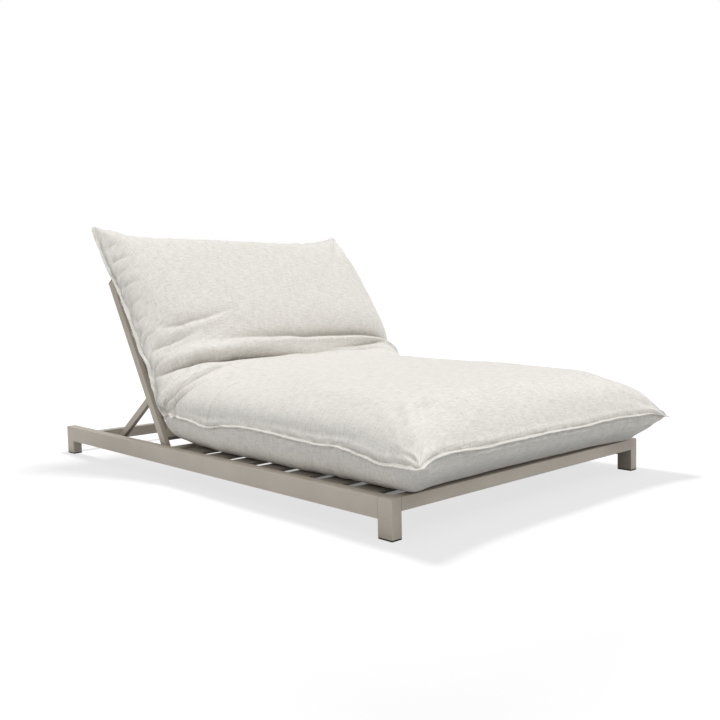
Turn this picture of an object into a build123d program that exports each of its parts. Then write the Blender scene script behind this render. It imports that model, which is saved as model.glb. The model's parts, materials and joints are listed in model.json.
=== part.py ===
from build123d import *
import math
import os

# A double chaise lounger: a low tube frame on four legs, slatted seat and backrest,
# a backrest held by two prop struts whose foot pins run in slotted guide plates,
# and one thick mattress that folds at the hinge, modelled as its two halves.
# X runs across the lounger, -Y is the foot end, +Y the head end, Z is up.
# The origin lies on the floor under the middle of the part. Lengths are millimetres.

# Overall sizes of the base frame
frame_length = 2100
frame_width = 1320
frame_height = 121.5
foot_overhang = 115

# Tubes of the base frame
tube_size = 40
tube_wall = 2
tube_corner = 2
rail_depth = 64
leg_length = 58
head_rail_depth = 46

# Feet
pad_thickness = 5
plug_height = 28
plug_clearance = 0.5
rib_count = 5
rib_thickness = 1.6
rib_depth = 2.4

# Slats
slat_width = 100
slat_thickness = 10
slat_wall = 1.6
seat_slat_count = 7
back_slat_count = 4
ledge_width = 20
ledge_wall = 3
beam_depth = 28

# Backrest frame
pivot_from_head = 798
seat_end_gap = 58
back_angle = 59.1
bar_width = 20
bar_depth = 36
bar_above_pivot = 776
bar_below_pivot = 20
bar_gap = 3
back_rail_size = 40
bottom_rail_along = 60
back_ledge_width = 15
cap_thickness = 4

# Prop struts and their guides
prop_width = 20
prop_depth = 28
prop_hinge_along = 240
prop_hinge_setback = 10
prop_pin_drop = 53.5
prop_pin_reach = 466
prop_gap = 3
plate_thickness = 2.5
plate_margin = 18
detent_count = 5
detent_depth = 1.5

# Pins, bolts and bushes
pin_diameter = 10
bush_wall = 2
flange_diameter = 24
head_diameter = 18
head_thickness = 4
slot_clearance = 0.6
running_clearance = 0.05
screw_diameter = 5
screw_head_diameter = 9
screw_head_thickness = 2.5

# Mattress
mattress_overhang = 12
seat_crown = 280
back_crown = 196
seat_seam_height = 112
back_seam_height = 76
end_round = 230
bottom_round = 62
back_overhang = 205
ear_depth = 42
side_ear_depth = 14
flange_width = 12
flange_thickness = 6
seam_band = 11
bottom_inset = 100
soft_gap = 0.3
cut_overrun = 10

# Places that follow from the sizes above
foot_end = -frame_length / 2 + foot_overhang / 2
head_end = foot_end + frame_length
rail_outer = frame_width / 2
rail_inner = rail_outer - tube_size
rail_under = frame_height - rail_depth
pivot_y = head_end - pivot_from_head
pivot_z = frame_height - bar_depth / 2
bar_outer = rail_inner - bar_gap
bar_inner = bar_outer - bar_width
prop_outer = bar_inner - prop_gap
prop_inner = prop_outer - prop_width
pin_radius = pin_diameter / 2
bore_radius = pin_radius + running_clearance
bush_radius = bore_radius + bush_wall
slat_under = frame_height - slat_thickness
foot_rail_y = foot_end + tube_size
seat_end_y = pivot_y - seat_end_gap - tube_size
seat_slat_gap = (seat_end_y - foot_rail_y - seat_slat_count * slat_width) / (seat_slat_count + 1)
hinge = Location((0, pivot_y, pivot_z), (back_angle, 0, 0))

# The prop linkage, seen from the side, with the pivot as its zero point
pin_level = frame_height - prop_pin_drop - pivot_z


def hinge_point(tilt):
    """Return the prop hinge, y and z from the pivot, with the backrest at an angle."""
    a = math.radians(tilt)
    y = prop_hinge_along * math.cos(a) + prop_hinge_setback * math.sin(a)
    z = prop_hinge_along * math.sin(a) - prop_hinge_setback * math.cos(a)
    return y, z


up_y, up_z = hinge_point(back_angle)
prop_length = math.hypot(prop_pin_reach - up_y, up_z - pin_level)
prop_slope = math.degrees(math.atan2(up_z - pin_level, prop_pin_reach - up_y))
flat_slope = math.degrees(math.asin((hinge_point(0)[1] - pin_level) / prop_length))
fold_angle = back_angle + prop_slope - flat_slope
fold_ratio = fold_angle / back_angle


def pin_place(share):
    """Return the foot pin's y and z, with the backrest lowered by a share of its travel."""
    tilt = back_angle * (1 - share)
    y, z = hinge_point(tilt)
    slope = math.radians(tilt - back_angle - prop_slope + fold_angle * share)
    return y + prop_length * math.cos(slope), z + prop_length * math.sin(slope)


def block(x0, x1, y0, y1, z0, z1):
    """Make a plain block between six named places."""
    size = Box(x1 - x0, y1 - y0, z1 - z0)
    return Pos((x0 + x1) / 2, (y0 + y1) / 2, (z0 + z1) / 2) * size


def rod_x(radius, x0, x1, y, z):
    """Make a round rod along X."""
    return Pos((x0 + x1) / 2, y, z) * Rot(0, 90, 0) * Cylinder(radius, abs(x1 - x0))


def hex_head(across, thickness, face, y, z):
    """Make a six-sided head or spacer on the inner side of a face."""
    outline = RegularPolygon(across / 2, 6, major_radius=False)
    return Pos(face - thickness, y, z) * Rot(0, 90, 0) * extrude(outline, thickness)


def tube(x0, x1, y0, y1, z0, z1, along, wall=tube_wall, ease=fillet):
    """Make an open tube whose long edges are eased, rounded where nothing else is said."""
    corner = min(tube_corner, wall)
    outer = block(x0, x1, y0, y1, z0, z1)
    outer = ease(outer.edges().filter_by(along), corner)
    grow_x, grow_y, grow_z = (cut_overrun if v > 0 else -wall for v in tuple(along.direction))
    inner = block(x0 - grow_x, x1 + grow_x, y0 - grow_y, y1 + grow_y, z0 - grow_z, z1 + grow_z)
    return outer - inner


def both_sides(make, name):
    """Write the left piece and the right piece of a mirrored pair."""
    right = make()
    write(right, name + "_right")
    write(mirror(right, about=Plane.YZ), name + "_left")


def write(shape, name):
    """Write one node, with loose solids kept as a group."""
    solids = shape.solids()
    node = solids[0] if len(solids) == 1 else Compound(children=solids)
    export_step(node, "parts/" + name + ".step")


os.makedirs("parts", exist_ok=True)

# Side rails, with holes for the pivot bolts and the guide plate screws
plate_start = prop_pin_reach + pivot_y - pin_radius - plate_margin
plate_end = pin_place(1)[0] + pivot_y + pin_radius + plate_margin
plate_top = pivot_z + max(pin_place(k / 20)[1] for k in range(21)) + pin_radius + plate_margin / 2
screw_radius = screw_diameter / 2
plate_screw_inset = plate_margin / 2
plate_screw_ys = (plate_start + plate_screw_inset, plate_end - plate_screw_inset)
plate_screw_z = rail_under + plate_screw_inset + screw_radius


def side_rail():
    """Make the right side rail between its legs."""
    y0, y1 = foot_end + leg_length, head_end - leg_length
    rail = tube(rail_inner, rail_outer, y0, y1, rail_under, frame_height, Axis.Y)
    wall_end = rail_inner + tube_wall
    rail -= rod_x(pin_radius, rail_inner - cut_overrun, wall_end + tube_wall, pivot_y, pivot_z)
    for y in plate_screw_ys:
        rail -= rod_x(screw_radius, rail_inner - cut_overrun, wall_end + tube_wall, y, plate_screw_z)
    return rail


both_sides(side_rail, "side_rail")

# Legs, closed on top and open below, and the feet that plug them
legs = {"foot": foot_end, "head": head_end - leg_length}


def leg(y0):
    """Make the right leg that starts at one place along the lounger."""
    y1 = y0 + leg_length
    post = block(rail_inner, rail_outer, y0, y1, pad_thickness, frame_height)
    post = fillet(post.edges().filter_by(Axis.Z), tube_corner)
    hollow = block(
        rail_inner + tube_wall,
        rail_outer - tube_wall,
        y0 + tube_wall,
        y1 - tube_wall,
        pad_thickness - cut_overrun,
        frame_height - tube_wall,
    )
    return post - hollow


def foot_pad(y0):
    """Make a foot: a wear pad under the leg and a ribbed plug up inside it."""
    y1 = y0 + leg_length
    pad = block(rail_inner, rail_outer, y0, y1, 0, pad_thickness)
    pad = chamfer(pad.edges().filter_by(Axis.Z), tube_corner)
    pad = chamfer(pad.faces().sort_by(Axis.Z)[0].edges(), pad_thickness / 4)
    inset = tube_wall + plug_clearance
    core = inset + rib_depth
    plug_top = pad_thickness + plug_height
    pad += block(rail_inner + core, rail_outer - core, y0 + core, y1 - core, pad_thickness, plug_top)
    step = plug_height / (rib_count + 1)
    for k in range(rib_count):
        z = pad_thickness + step * (k + 1)
        rib = block(rail_inner + inset, rail_outer - inset, y0 + inset, y1 - inset, z, z + rib_thickness)
        pad += rib
    return pad


for end, start in legs.items():
    both_sides(lambda: leg(start), "leg_" + end)
    both_sides(lambda: foot_pad(start), "foot_pad_" + end)

# Cross rails of the base
rail_top = pivot_z - bar_depth / 2 - soft_gap
tube_under = frame_height - tube_size
write(tube(-rail_inner, rail_inner, foot_end, foot_rail_y, tube_under, frame_height, Axis.X), "foot_rail")
head_rail = tube(
    -rail_inner,
    rail_inner,
    head_end - tube_size,
    head_end,
    rail_top - head_rail_depth,
    rail_top,
    Axis.X,
)
write(head_rail, "head_rail")
seat_end = tube(
    -rail_inner,
    rail_inner,
    seat_end_y,
    seat_end_y + tube_size,
    tube_under,
    frame_height,
    Axis.X,
    ease=chamfer,
)
write(seat_end, "seat_end_rail")
beam = tube(
    -tube_size / 2,
    tube_size / 2,
    foot_rail_y,
    seat_end_y,
    slat_under - beam_depth,
    slat_under,
    Axis.Y,
    ease=chamfer,
)
write(beam, "seat_centre_beam")


# Seat slats, flat hollow tubes welded to a ledge along each side rail
ledge_under = slat_under - ledge_wall
first_slat_centre = foot_rail_y + seat_slat_gap + slat_width / 2
slat_pitch = slat_width + seat_slat_gap
slat_centres = [first_slat_centre + slat_pitch * k for k in range(seat_slat_count)]


def flat_slat(x_end, y, z0):
    """Make one slat across the deck."""
    half = slat_width / 2
    z1 = z0 + slat_thickness
    return tube(-x_end, x_end, y - half, y + half, z0, z1, Axis.X, slat_wall, chamfer)


def seat_ledge():
    """Make the angle that carries the slat ends on the right side."""
    flat = block(rail_inner - ledge_width, rail_inner, foot_rail_y, seat_end_y, ledge_under, slat_under)
    web_under = ledge_under - ledge_width
    web = block(rail_inner - ledge_wall, rail_inner, foot_rail_y, seat_end_y, web_under, ledge_under)
    return flat + web


for k, y in enumerate(slat_centres):
    write(flat_slat(rail_inner, y, slat_under), "seat_slat_" + str(k + 1))
both_sides(seat_ledge, "seat_slat_ledge")

# Guide plates on the rails, with a slot along the foot pin's own path
slot_radius = pin_radius + slot_clearance
detent_shares = [k / (detent_count - 1) for k in range(detent_count)]


def path_edge(offset):
    """Return the line beside the pin's path, a fixed distance off it."""
    points = []
    steps = 6
    for k in range(steps + 1):
        y0, z0 = pin_place(max(k - 0.5, 0) / steps)
        y1, z1 = pin_place(min(k + 0.5, steps) / steps)
        y, z = pin_place(k / steps)
        run = math.hypot(y1 - y0, z1 - z0)
        points.append((y - offset * (z1 - z0) / run, z + offset * (y1 - y0) / run))
    return points


def guide_plate():
    """Make the right guide plate with its curved slot and shallow detents."""
    upper = path_edge(slot_radius)
    lower = path_edge(-slot_radius)
    first, last = pin_place(0), pin_place(1)
    edges = [
        Spline(*upper),
        ThreePointArc(upper[-1], (last[0] + slot_radius, last[1]), lower[-1]),
        Spline(*lower[::-1]),
        ThreePointArc(lower[0], (first[0] - slot_radius, first[1]), upper[0]),
    ]
    slot = make_face(edges)
    for share in detent_shares:
        y, z = pin_place(share)
        slot += Pos(y, z - detent_depth) * Circle(slot_radius)
    side = Plane(origin=(0, pivot_y, pivot_z), x_dir=(0, 1, 0), z_dir=(1, 0, 0))
    cutter = extrude(side * slot, rail_outer)
    x0, x1 = rail_inner - plate_thickness, rail_inner
    plate = block(x0, x1, plate_start, plate_end, rail_under, plate_top)
    plate = fillet(plate.edges().filter_by(Axis.X), plate_margin / 2)
    for y in plate_screw_ys:
        plate -= rod_x(screw_radius, x0 - cut_overrun, x1 + cut_overrun, y, plate_screw_z)
    return plate - cutter


def plate_screws():
    """Make the two screws of the right guide plate."""
    face = rail_inner - plate_thickness
    solids = []
    for y in plate_screw_ys:
        head = hex_head(screw_head_diameter, screw_head_thickness, face, y, plate_screw_z)
        shank_end = rail_inner + tube_wall
        solids.append(head + rod_x(screw_radius, face, shank_end, y, plate_screw_z))
    return Compound(children=solids)


both_sides(guide_plate, "guide_plate")
right_screws = plate_screws()
left_screws = mirror(right_screws, about=Plane.YZ)
write(Compound(children=right_screws.solids() + left_screws.solids()), "guide_plate_screws")


# Pivot bolts through the bars into the rails
def pivot_bolt():
    """Make the right pivot bolt with its head on the bar's inner side."""
    face = bar_inner - soft_gap
    bolt = rod_x(pin_radius, face, rail_inner + tube_wall, pivot_y, pivot_z)
    return bolt + hex_head(head_diameter, head_thickness, face, pivot_y, pivot_z)


both_sides(pivot_bolt, "pivot_bolt")

# Backrest, made lying flat with the pivot at zero and then tilted up about it
half_depth = bar_depth / 2
bar_end = bar_above_pivot - cap_thickness
bar_start = -bar_below_pivot + cap_thickness
top_rail_start = bar_above_pivot - back_rail_size
bottom_rail_end = bottom_rail_along + back_rail_size / 2
back_span = top_rail_start - bottom_rail_end
back_slat_gap = (back_span - back_slat_count * slat_width) / (back_slat_count + 1)
back_slat_under = half_depth - slat_thickness
back_ledge_under = back_slat_under - ledge_wall


def back_bar():
    """Make the right backrest bar with its pivot and prop holes."""
    bar = tube(bar_inner, bar_outer, bar_start, bar_end, -half_depth, half_depth, Axis.Y)
    bar -= rod_x(bush_radius, bar_inner - cut_overrun, bar_outer + cut_overrun, 0, 0)
    middle = (bar_inner + bar_outer) / 2
    bar -= rod_x(pin_radius, bar_inner - cut_overrun, middle, prop_hinge_along, -prop_hinge_setback)
    return bar


def pivot_bush():
    """Make the right pivot bush, a sleeve in the bar with a washer flange outside it."""
    sleeve = rod_x(bush_radius, bar_inner, bar_outer, 0, 0)
    flange = rod_x(flange_diameter / 2, bar_outer, rail_inner - soft_gap, 0, 0)
    return sleeve + flange - rod_x(bore_radius, bar_inner - cut_overrun, rail_inner + cut_overrun, 0, 0)


def prop_bolt():
    """Make the right prop bolt, from inside the strut into the bar's wall, and its spacer."""
    face = prop_inner - soft_gap
    y, z = prop_hinge_along, -prop_hinge_setback
    bolt = rod_x(pin_radius, face, bar_inner + tube_wall, y, z)
    head = hex_head(head_diameter, head_thickness, face, y, z)
    spacer = hex_head(head_diameter, prop_gap - soft_gap, bar_inner, y, z)
    return bolt + head + spacer


def end_caps():
    """Make the four plugs that close the bars, each with a short tongue inside the tube."""
    solids = []
    inset = tube_wall + plug_clearance
    tongue = 4 * cap_thickness
    for side in (-1, 1):
        for y0, y1, inward in ((bar_end, bar_above_pivot, -1), (-bar_below_pivot, bar_start, 1)):
            x0, x1 = sorted((side * bar_inner, side * bar_outer))
            cap = block(x0, x1, y0, y1, -half_depth, half_depth)
            cap = chamfer(cap.edges().filter_by(Axis.Y), tube_corner)
            face = y0 if inward < 0 else y1
            ya, yb = sorted((face, face + inward * tongue / 2))
            cap += block(x0 + inset, x1 - inset, ya, yb, -half_depth + inset, half_depth - inset)
            solids.append(cap)
    return Compound(children=solids)


def back_ledge():
    """Make the right ledge strip under the backrest slats."""
    x0 = bar_inner - back_ledge_width
    return block(x0, bar_inner, bottom_rail_end, top_rail_start, back_ledge_under, back_slat_under)


def back_cross_rail(y0, y1):
    """Make a cross rail between the backrest bars."""
    return tube(-bar_inner, bar_inner, y0, y1, -half_depth, half_depth, Axis.X)


first_back_centre = bottom_rail_end + back_slat_gap + slat_width / 2
back_pitch = slat_width + back_slat_gap
back_slat_centres = [first_back_centre + back_pitch * k for k in range(back_slat_count)]
both_sides(lambda: hinge * back_bar(), "back_bar")
both_sides(lambda: hinge * pivot_bush(), "pivot_bush")
both_sides(lambda: hinge * prop_bolt(), "prop_bolt")
both_sides(lambda: hinge * back_ledge(), "back_slat_ledge")
write(hinge * end_caps(), "bar_end_caps")
write(hinge * back_cross_rail(top_rail_start, bar_above_pivot), "back_top_rail")
bottom_rail_start = bottom_rail_end - back_rail_size
write(hinge * back_cross_rail(bottom_rail_start, bottom_rail_end), "back_bottom_rail")
for k, y in enumerate(back_slat_centres):
    slat = flat_slat(bar_inner, y, back_slat_under)
    write(hinge * slat, "back_slat_" + str(k + 1))
centre_bar = tube(
    -tube_size / 2,
    tube_size / 2,
    bottom_rail_end,
    top_rail_start,
    -half_depth,
    back_slat_under,
    Axis.Y,
    ease=chamfer,
)
write(hinge * centre_bar, "back_centre_bar")

# Prop struts, made along +Y with the upper hinge at zero and then turned into place
prop_spot = Location((0, pivot_y + up_y, pivot_z + up_z), (-prop_slope, 0, 0))
prop_half = prop_depth / 2
prop_inset = prop_half + 2 * tube_wall


def prop_strut():
    """Make the right strut, an open tube between its two end fittings."""
    end = prop_length - prop_inset
    return tube(prop_inner, prop_outer, prop_inset, end, -prop_half, prop_half, Axis.Y)


def prop_fitting(radius):
    """Make one round-nosed end fitting with a bore at zero and a tongue inside the strut."""
    nose = rod_x(prop_half, prop_inner, prop_outer, 0, 0)
    nose += block(prop_inner, prop_outer, 0, prop_inset, -prop_half, prop_half)
    inset = tube_wall + plug_clearance
    x0, x1 = prop_inner + inset, prop_outer - inset
    nose += block(x0, x1, prop_inset, prop_inset + prop_depth, -prop_half + inset, prop_half - inset)
    return nose - rod_x(radius, prop_inner - cut_overrun, prop_outer + cut_overrun, 0, 0)


def foot_pin():
    """Make the right foot pin, from the strut into the slot of the guide plate."""
    pin = rod_x(pin_radius, prop_inner, rail_inner - soft_gap, prop_length, 0)
    return pin + hex_head(head_diameter, head_thickness, prop_inner, prop_length, 0)


lower_end = Pos(0, prop_length, 0) * Rot(180, 0, 0)
both_sides(lambda: prop_spot * prop_strut(), "prop_strut")
both_sides(lambda: prop_spot * prop_fitting(bore_radius), "prop_upper_fitting")
both_sides(lambda: prop_spot * lower_end * prop_fitting(pin_radius), "prop_lower_fitting")
both_sides(lambda: prop_spot * foot_pin(), "prop_foot_pin")

# Mattress halves, each made flat from the hinge outward and then laid in place
seat_rest = frame_height + soft_gap - pivot_z
seat_reach = pivot_y - foot_end + foot_overhang
back_reach = bar_above_pivot + back_overhang
mattress_half_width = rail_outer + mattress_overhang
body_half = mattress_half_width - side_ear_depth - flange_width
bottom_half = body_half - bottom_inset
seam_half = seam_band / 2
# Shares of the rounded end's length where the end is cut across
end_shares = (0.004, 0.04, 0.12, 0.26, 0.48, 1)
# Where the top's shoulder and the arcs' middle points lie, as shares of width and height
shoulder_x_share = 0.88
shoulder_z_share = 0.87
upper_mid_x_share = 0.972
upper_mid_z_share = 0.5
lower_mid_x_share = 0.66
lower_mid_z_share = 0.3


def mattress_section(y, crown, seam, floor, bottom):
    """Make one cross-section: flat below, drawn out to the seam, crowned on top."""
    low, high = seam - seam_half, seam + seam_half
    rise, drop = crown - high, low - floor
    upper_mid = (body_half * upper_mid_x_share, high + rise * upper_mid_z_share)
    shoulder = (body_half * shoulder_x_share, high + rise * shoulder_z_share)
    lower_mid = (
        bottom + (body_half - bottom) * lower_mid_x_share,
        floor + drop * lower_mid_z_share,
    )
    right = [
        ThreePointArc((bottom, floor), lower_mid, (body_half, low)),
        Line((body_half, low), (body_half, high)),
        ThreePointArc((body_half, high), upper_mid, shoulder),
    ]
    left = [mirror(edge, about=Plane.YZ) for edge in right]
    middle = [
        ThreePointArc(shoulder, (0, crown), (-shoulder[0], shoulder[1])),
        Line((-bottom, floor), (bottom, floor)),
    ]
    face = make_face(right + left + middle)
    return Plane(origin=(0, y, 0), x_dir=(1, 0, 0), z_dir=(0, -1, 0)) * face


def seam_flange(reach, seam):
    """Make the flat seam edge round one half, drawn in between its two corner ears."""
    side = body_half + flange_width
    middle = reach / 2
    ear = reach - (reach - middle) / 3
    right = [
        Line((side, -end_round), (side, middle)),
        ThreePointArc((side, middle), (side + side_ear_depth / 4, ear), (mattress_half_width, reach)),
    ]
    left = [mirror(edge, about=Plane.YZ) for edge in right]
    tips = (mattress_half_width, reach), (-mattress_half_width, reach)
    end = ThreePointArc(tips[0], (0, reach - ear_depth), tips[1])
    start = Line((-side, -end_round), (side, -end_round))
    outline = make_face(right + left + [end, start])
    return extrude(Pos(0, 0, seam - flange_thickness / 2) * outline, flange_thickness)


def mattress_half(reach, crown, seam):
    """Make one half of the mattress lying flat, its hinge end past zero."""
    body_end = reach - ear_depth - flange_width
    sections = []
    for share in end_shares:
        roundness = math.sqrt(1 - (1 - share) ** 2)
        top = seam + seam_half + (crown - seam - seam_half) * roundness
        floor_round = min(1, share * end_round / bottom_round)
        floor = (seam - seam_half) * (1 - math.sqrt(1 - (1 - floor_round) ** 2))
        bottom = bottom_half - (bottom_inset / 2) * (1 - floor_round)
        sections.append(mattress_section(body_end - share * end_round, top, seam, floor, bottom))
    sections.append(mattress_section(-end_round, crown, seam, 0, bottom_half))
    return loft(sections, ruled=True) + seam_flange(reach, seam)


# The halves meet in the plane through the pivot and the crease between their tops
tilt = math.radians(back_angle)
crease_z = seat_rest + seat_crown
crease_y = (crease_z * math.cos(tilt) - seat_rest - back_crown) / math.sin(tilt)
crease_angle = math.degrees(math.atan2(-crease_y, crease_z))

def hinge_plane(side):
    """Return the crease plane, half a gap towards the foot or the head end."""
    lean = Pos(0, pivot_y, pivot_z) * Rot(crease_angle, 0, 0) * Pos(0, side * soft_gap / 2, 0)
    return Plane(lean * Location(Plane.XZ))


seat_place = Pos(0, pivot_y, pivot_z + seat_rest) * Rot(0, 0, 180)
seat_cushion = seat_place * mattress_half(seat_reach, seat_crown, seat_seam_height)
write(split(seat_cushion, hinge_plane(-1), keep=Keep.TOP), "seat_cushion")
back_place = hinge * Pos(0, 0, seat_rest)
back_cushion = back_place * mattress_half(back_reach, back_crown, back_seam_height)
write(split(back_cushion, hinge_plane(1), keep=Keep.BOTTOM), "back_cushion")

print("prop length", round(prop_length, 2), "slope", round(prop_slope, 3))
print("fold ratio", round(fold_ratio, 6), "crease angle", round(crease_angle, 2))
print("pivot", pivot_y, pivot_z, "rail ends", foot_end, head_end)
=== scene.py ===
import json
import math

import bpy
import numpy as np
from mathutils import Matrix, Vector


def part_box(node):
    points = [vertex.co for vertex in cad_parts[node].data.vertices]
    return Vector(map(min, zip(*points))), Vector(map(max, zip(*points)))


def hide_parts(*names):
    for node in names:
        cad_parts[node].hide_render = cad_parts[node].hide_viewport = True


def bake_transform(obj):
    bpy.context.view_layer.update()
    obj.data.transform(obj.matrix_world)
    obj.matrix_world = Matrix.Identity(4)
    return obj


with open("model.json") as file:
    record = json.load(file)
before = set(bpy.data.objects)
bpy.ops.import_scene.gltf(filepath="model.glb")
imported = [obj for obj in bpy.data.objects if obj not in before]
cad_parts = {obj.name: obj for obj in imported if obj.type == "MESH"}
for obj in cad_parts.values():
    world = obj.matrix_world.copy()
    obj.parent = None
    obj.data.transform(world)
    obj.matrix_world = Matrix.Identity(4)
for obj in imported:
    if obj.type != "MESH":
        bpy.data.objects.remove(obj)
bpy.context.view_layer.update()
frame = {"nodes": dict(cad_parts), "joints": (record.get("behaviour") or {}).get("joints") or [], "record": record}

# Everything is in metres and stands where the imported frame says.
# X runs across the lounger, -Y is the foot end, Z is up.
print("frame loaded,", len(frame["nodes"]), "pieces")

# Helpers for shader nodes


def newMaterial(name):
    material = bpy.data.materials.new(name)
    material.use_nodes = True
    tree = material.node_tree
    return material, tree, tree.nodes["Principled BSDF"]


def setInput(tree, socket, value):
    if isinstance(value, bpy.types.NodeSocket):
        tree.links.new(value, socket)
    else:
        socket.default_value = value


def addNode(tree, kind, inputs=None, **settings):
    node = tree.nodes.new(kind)
    for key, value in settings.items():
        setattr(node, key, value)
    for key, value in (inputs or {}).items():
        setInput(tree, node.inputs[key], value)
    return node


def calc(tree, operation, a, b=None):
    node = addNode(tree, "ShaderNodeMath", {0: a}, operation=operation)
    if b is not None:
        setInput(tree, node.inputs[1], b)
    return node.outputs[0]


def mapTo(tree, value, low, high):
    node = addNode(tree, "ShaderNodeMapRange", {"Value": value, "To Min": low, "To Max": high})
    return node.outputs["Result"]


def coordinates(tree, kind):
    return addNode(tree, "ShaderNodeTexCoord").outputs[kind]


def noise(tree, place, scale, detail=2.0, roughness=0.5):
    inputs = {"Vector": place, "Scale": scale, "Detail": detail, "Roughness": roughness}
    return addNode(tree, "ShaderNodeTexNoise", inputs).outputs["Fac"]


def stretched(tree, place, scale):
    return addNode(tree, "ShaderNodeMapping", {"Vector": place, "Scale": scale}).outputs["Vector"]


def scaled(color, factor):
    return tuple(v * factor for v in color)


def ramp(tree, value, stops):
    node = addNode(tree, "ShaderNodeValToRGB", {"Fac": value})
    elements = node.color_ramp.elements
    while len(elements) < len(stops):
        elements.new(0.5)
    for element, (place, color) in zip(elements, stops):
        element.position = place
        element.color = (*color, 1)
    return node.outputs["Color"]


def mottle(tree, shader, value, dark, light):
    # the base colour runs from dark to light over the middle of the value
    tree.links.new(ramp(tree, value, [(0.3, dark), (0.7, light)]), shader.inputs["Base Color"])


def varyGloss(tree, shader, value, roughness, less, more):
    tree.links.new(mapTo(tree, value, roughness - less, roughness + more), shader.inputs["Roughness"])


def addBump(tree, shader, height, distance, strength):
    bump = addNode(tree, "ShaderNodeBump", {"Height": height, "Distance": distance, "Strength": strength})
    tree.links.new(bump.outputs["Normal"], shader.inputs["Normal"])


# Camera, light and floor
cameraView = {
    "place": (-2.29477, -2.64846, 0.68751),
    "yawDeg": 42.7033,  # from +Y towards +X
    "pitchDeg": -4.3296,
    "rollDeg": -1.2757,
    "focal": 42.65,  # mm on a 36 mm sensor
}


def makeCamera(view):
    yaw, pitch, roll = (math.radians(view[k]) for k in ("yawDeg", "pitchDeg", "rollDeg"))
    level = Vector((math.cos(yaw), -math.sin(yaw), 0))
    ahead = Vector((math.sin(yaw) * math.cos(pitch), math.cos(yaw) * math.cos(pitch), math.sin(pitch)))
    above = level.cross(ahead)
    right = math.cos(roll) * level + math.sin(roll) * above
    up = -math.sin(roll) * level + math.cos(roll) * above
    data = bpy.data.cameras.new("photoCamera")
    data.lens = view["focal"]
    data.sensor_width = 36
    data.clip_end = 60
    camera = bpy.data.objects.new("photoCamera", data)
    bpy.context.scene.collection.objects.link(camera)
    turn = Matrix((right, up, -ahead)).transposed().to_4x4()
    camera.matrix_world = Matrix.Translation(Vector(view["place"])) @ turn
    bpy.context.scene.camera = camera


studio = {
    "skyLow": 0.13,
    "skyHigh": 0.97,
    "backdrop": 1.0,  # what shows behind the floor's far edge
    "floorColor": 0.05,
    "floorShed": (0.04, 0.56),  # the light it sheds, under the lounger and in the open
    "floorSeen": (0.20, 0.745, 1.0),  # how bright it shows: painted shadow under the slats, around, far away
    "keyFrom": (0.05, -0.50, 1.0),
    "keyPower": 1.60,
    "keySoftnessDeg": 40,
    "rearFrom": (0.40, 0.36, 1.0),
    "rearPower": 0.45,
    "rearSoftnessDeg": 30,
    "shadowPlace": (0.16, 0.37, 2.9),  # a lamp that lights the floor alone, for the shadow's outline
    "shadowPower": 660,
    "shadowSize": 0.8,
    "floorHalf": 30,
    # patches of the floor: middle, half size and how softly they end. Under the lounger the light the floor sheds
    # is dimmed as painted shade, and under the slats the floor shows painted shadow.
    "shedShadePatch": ((0, 0), (0.60, 1.05), 0.20),
    "slatShadowPatch": ((0.04, -0.34), (0.32, 0.28), 0.12),
    "nearPatch": ((0, 0), (1.3, 1.7), 0.9),
}


def seenOrShed(tree, shed, seen):
    # one strength for the light a surface sheds, another for how bright it shows
    return mapTo(tree, addNode(tree, "ShaderNodeLightPath").outputs["Is Camera Ray"], shed, seen)


def makeSun(name, comesFrom, power, softnessDeg):
    data = bpy.data.lights.new(name, "SUN")
    data.energy = power
    data.angle = math.radians(softnessDeg)
    lamp = bpy.data.objects.new(name, data)
    lamp.rotation_euler = (-Vector(comesFrom)).to_track_quat("-Z", "Y").to_euler()
    bpy.context.scene.collection.objects.link(lamp)


def makeLamp(name, place, power, size):
    data = bpy.data.lights.new(name, "AREA")
    data.shape = "DISK"
    data.energy = power
    data.size = size
    lamp = bpy.data.objects.new(name, data)
    lamp.location = place
    lamp.visible_camera = False
    bpy.context.scene.collection.objects.link(lamp)
    return lamp


def openFloor(tree, centre, half, soft):
    # 0 on a patch of the floor, 1 away from it
    place = addNode(tree, "ShaderNodeSeparateXYZ", {"Vector": coordinates(tree, "Object")})
    beyond = []
    for axis, middle, reach in zip("XY", centre, half):
        away = calc(tree, "ABSOLUTE", calc(tree, "SUBTRACT", place.outputs[axis], middle))
        beyond.append(calc(tree, "DIVIDE", calc(tree, "SUBTRACT", away, reach), soft))
    furthest = calc(tree, "MAXIMUM", *beyond)
    ease = addNode(tree, "ShaderNodeMapRange", {"Value": furthest}, interpolation_type="SMOOTHSTEP")
    return ease.outputs["Result"]


def makeSky(s):
    world = bpy.data.worlds.new("softDaylight")
    bpy.context.scene.world = world
    world.use_nodes = True
    tree = world.node_tree
    sky = tree.nodes["Background"]
    sky.inputs["Color"].default_value = (1, 1, 1, 1)
    direction = addNode(tree, "ShaderNodeSeparateXYZ", {"Vector": coordinates(tree, "Generated")})
    shed = mapTo(tree, direction.outputs["Z"], s["skyLow"], s["skyHigh"])
    tree.links.new(seenOrShed(tree, shed, s["backdrop"]), sky.inputs["Strength"])


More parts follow.
